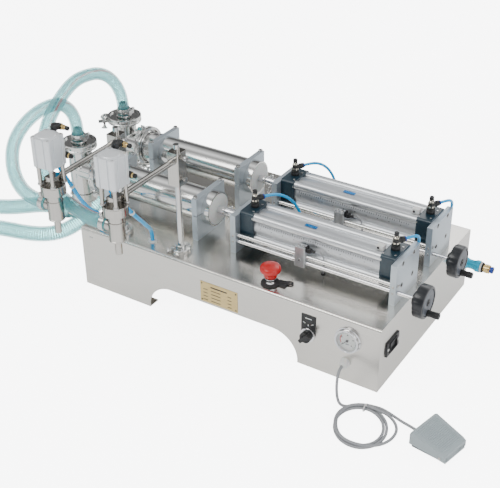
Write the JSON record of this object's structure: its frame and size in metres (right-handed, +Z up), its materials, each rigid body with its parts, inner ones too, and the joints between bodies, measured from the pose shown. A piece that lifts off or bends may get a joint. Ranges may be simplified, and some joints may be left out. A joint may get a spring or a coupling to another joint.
{
  "type": "piston liquid filler",
  "caption": "Bench piston liquid filler: paired horizontal cylinders, check valves, shut-off nozzles, hoses and a foot switch.",
  "frame": {"origin": "centre of the cabinet's footprint, on the surface that it stands on", "axes": "+X towards the handwheels, +Y towards the back of the cabinet, +Z up"},
  "size_m": [1.5574, 0.8721, 0.434],
  "materials": {
    "stainless": "brushed",
    "polished": "polished",
    "chrome": "polished",
    "anodised": "satin anodised",
    "barrel": "satin anodised",
    "cap": "satin",
    "ptfe": "matt",
    "black": "matt",
    "controls": "satin",
    "hose": "clear",
    "blue_tube": "gloss",
    "grey": "satin",
    "cable": "matt",
    "white": "satin",
    "red": "gloss",
    "brass": "polished",
    "blue": "anodised",
    "charcoal": "satin",
    "gold": "satin",
    "pedal": "textured"
  },
  "bodies": {
    "machine": {"cabinet_shell": "stainless", "side_panels": "stainless", "base_flange": "stainless", "saddles": "anodised", "liquid_cylinders": "polished", "valve_bodies": "polished", "tri_clamps": "polished", "hose_barbs": "polished", "air_barrels": "barrel", "barrel_end_caps": "cap", "end_plates": "anodised", "guide_rods": "polished", "flow_controls": "controls", "hose_clamps": "polished", "nozzle_columns": "polished", "nameplate": "gold", "switch_legends": "controls", "power_inlet": "black", "chrome_bezels": "chrome", "grommets": "white", "air_inlet_core": "brass", "front_outlet_hose": "hose", "rear_outlet_hose": "hose", "front_suction_hose": "hose", "rear_suction_hose": "hose", "front_sensor_cable": "cable", "rear_sensor_cable": "cable", "left_nozzle_air_tube": "blue_tube", "right_nozzle_air_tube": "blue_tube", "cylinder_air_tubes": "blue_tube", "pedal_cable": "cable", "pedal_cable_coil": "cable", "pedal_base": "grey"},
    "front_piston": {"front_liquid_piston": "ptfe", "front_piston_rod": "chrome"},
    "front_wheel": {"front_handwheel": "charcoal", "front_adjusting_screw": "chrome"},
    "front_stroke_stop": {"front_stroke_block": "barrel"},
    "front_inlet_valve": {"front_inlet_poppet": "ptfe"},
    "front_outlet_valve": {"front_outlet_poppet": "ptfe"},
    "rear_piston": {"rear_liquid_piston": "ptfe", "rear_piston_rod": "chrome"},
    "rear_wheel": {"rear_handwheel": "charcoal", "rear_adjusting_screw": "chrome"},
    "rear_stroke_stop": {"rear_stroke_block": "barrel"},
    "rear_inlet_valve": {"rear_inlet_poppet": "ptfe"},
    "rear_outlet_valve": {"rear_outlet_poppet": "ptfe"},
    "left_nozzle": {"left_nozzle_arm": "polished", "left_nozzle_actuator": "barrel", "left_nozzle_body": "polished"},
    "left_shutoff": {"left_nozzle_stem": "polished"},
    "right_nozzle": {"right_nozzle_arm": "polished", "right_nozzle_actuator": "barrel", "right_nozzle_body": "polished"},
    "right_shutoff": {"right_nozzle_stem": "polished"},
    "stop": {"stop_button": "red"},
    "selector": {"selector_knob": "black"},
    "needle": {"gauge_needle": "black"},
    "inlet_sleeve": {"air_inlet_sleeve": "blue"},
    "treadle": {"pedal_treadle": "pedal"}
  },
  "joints": [
    {"name": "front_filling_stroke", "type": "slide", "parent": "machine", "child": "front_piston", "axis": [-1, 0, 0], "range_m": [0, 0.23]},
    {"name": "front_handwheel_turn", "type": "hinge", "parent": "machine", "child": "front_wheel", "pos_m": [0.38, -0.119, 0.165], "axis": [1, 0, 0], "range_deg": [-1800, 1800]},
    {"name": "front_stroke_setting", "type": "slide", "parent": "machine", "child": "front_stroke_stop", "axis": [1, 0, 0], "range_m": [-0.04, 0.04], "deforming": ["front_sensor_cable"]},
    {"name": "front_inlet_lift", "type": "slide", "parent": "machine", "child": "front_inlet_valve", "axis": [0, 0, 1], "range_m": [0, 0.008], "stiffness_N_per_m": 100, "springref_m": -0.004},
    {"name": "front_outlet_lift", "type": "slide", "parent": "machine", "child": "front_outlet_valve", "axis": [0, 0, 1], "range_m": [0, 0.008], "stiffness_N_per_m": 100, "springref_m": -0.004},
    {"name": "rear_filling_stroke", "type": "slide", "parent": "machine", "child": "rear_piston", "axis": [-1, 0, 0], "range_m": [0, 0.23]},
    {"name": "rear_handwheel_turn", "type": "hinge", "parent": "machine", "child": "rear_wheel", "pos_m": [0.38, 0.037, 0.165], "axis": [1, 0, 0], "range_deg": [-1800, 1800]},
    {"name": "rear_stroke_setting", "type": "slide", "parent": "machine", "child": "rear_stroke_stop", "axis": [1, 0, 0], "range_m": [-0.04, 0.04], "deforming": ["rear_sensor_cable"]},
    {"name": "rear_inlet_lift", "type": "slide", "parent": "machine", "child": "rear_inlet_valve", "axis": [0, 0, 1], "range_m": [0, 0.008], "stiffness_N_per_m": 100, "springref_m": -0.004},
    {"name": "rear_outlet_lift", "type": "slide", "parent": "machine", "child": "rear_outlet_valve", "axis": [0, 0, 1], "range_m": [0, 0.008], "stiffness_N_per_m": 100, "springref_m": -0.004},
    {"name": "left_nozzle_height", "type": "slide", "parent": "machine", "child": "left_nozzle", "axis": [0, 0, 1], "range_m": [-0.03, 0.03], "deforming": ["front_outlet_hose", "left_nozzle_air_tube"]},
    {"name": "left_nozzle_opening", "type": "slide", "parent": "left_nozzle", "child": "left_shutoff", "axis": [0, 0, 1], "range_m": [0, 0.012], "stiffness_N_per_m": 400, "springref_m": -0.01},
    {"name": "right_nozzle_height", "type": "slide", "parent": "machine", "child": "right_nozzle", "axis": [0, 0, 1], "range_m": [-0.03, 0.03], "deforming": ["rear_outlet_hose", "right_nozzle_air_tube"]},
    {"name": "right_nozzle_opening", "type": "slide", "parent": "right_nozzle", "child": "right_shutoff", "axis": [0, 0, 1], "range_m": [0, 0.012], "stiffness_N_per_m": 400, "springref_m": -0.01},
    {"name": "stop_press", "type": "slide", "parent": "machine", "child": "stop", "axis": [0, 0, -1], "range_m": [0, 0.0025]},
    {"name": "selector_turn", "type": "hinge", "parent": "machine", "child": "selector", "pos_m": [0.199, -0.215, 0.076], "axis": [0, 1, 0], "range_deg": [0, 90]},
    {"name": "needle_turn", "type": "hinge", "parent": "machine", "child": "needle", "pos_m": [0.281, -0.212, 0.095], "axis": [0, 1, 0], "range_deg": [0, 270]},
    {"name": "inlet_sleeve_slide", "type": "slide", "parent": "machine", "child": "inlet_sleeve", "axis": [1, 0, 0], "range_m": [0, 0.008]},
    {"name": "treadle_press", "type": "hinge", "parent": "machine", "child": "treadle", "pos_m": [0.52133, -0.28485, 0.0075], "axis": [-0.225, -0.9744, 0], "range_deg": [0, 2.5], "stiffness_Nm_per_rad": 11, "springref_deg": -1.15}
  ],
  "couplings": [
    {"joint": "front_stroke_setting", "follows": "front_handwheel_turn", "m_per_rad": 0.001273},
    {"joint": "rear_stroke_setting", "follows": "rear_handwheel_turn", "m_per_rad": 0.001273}
  ]
}
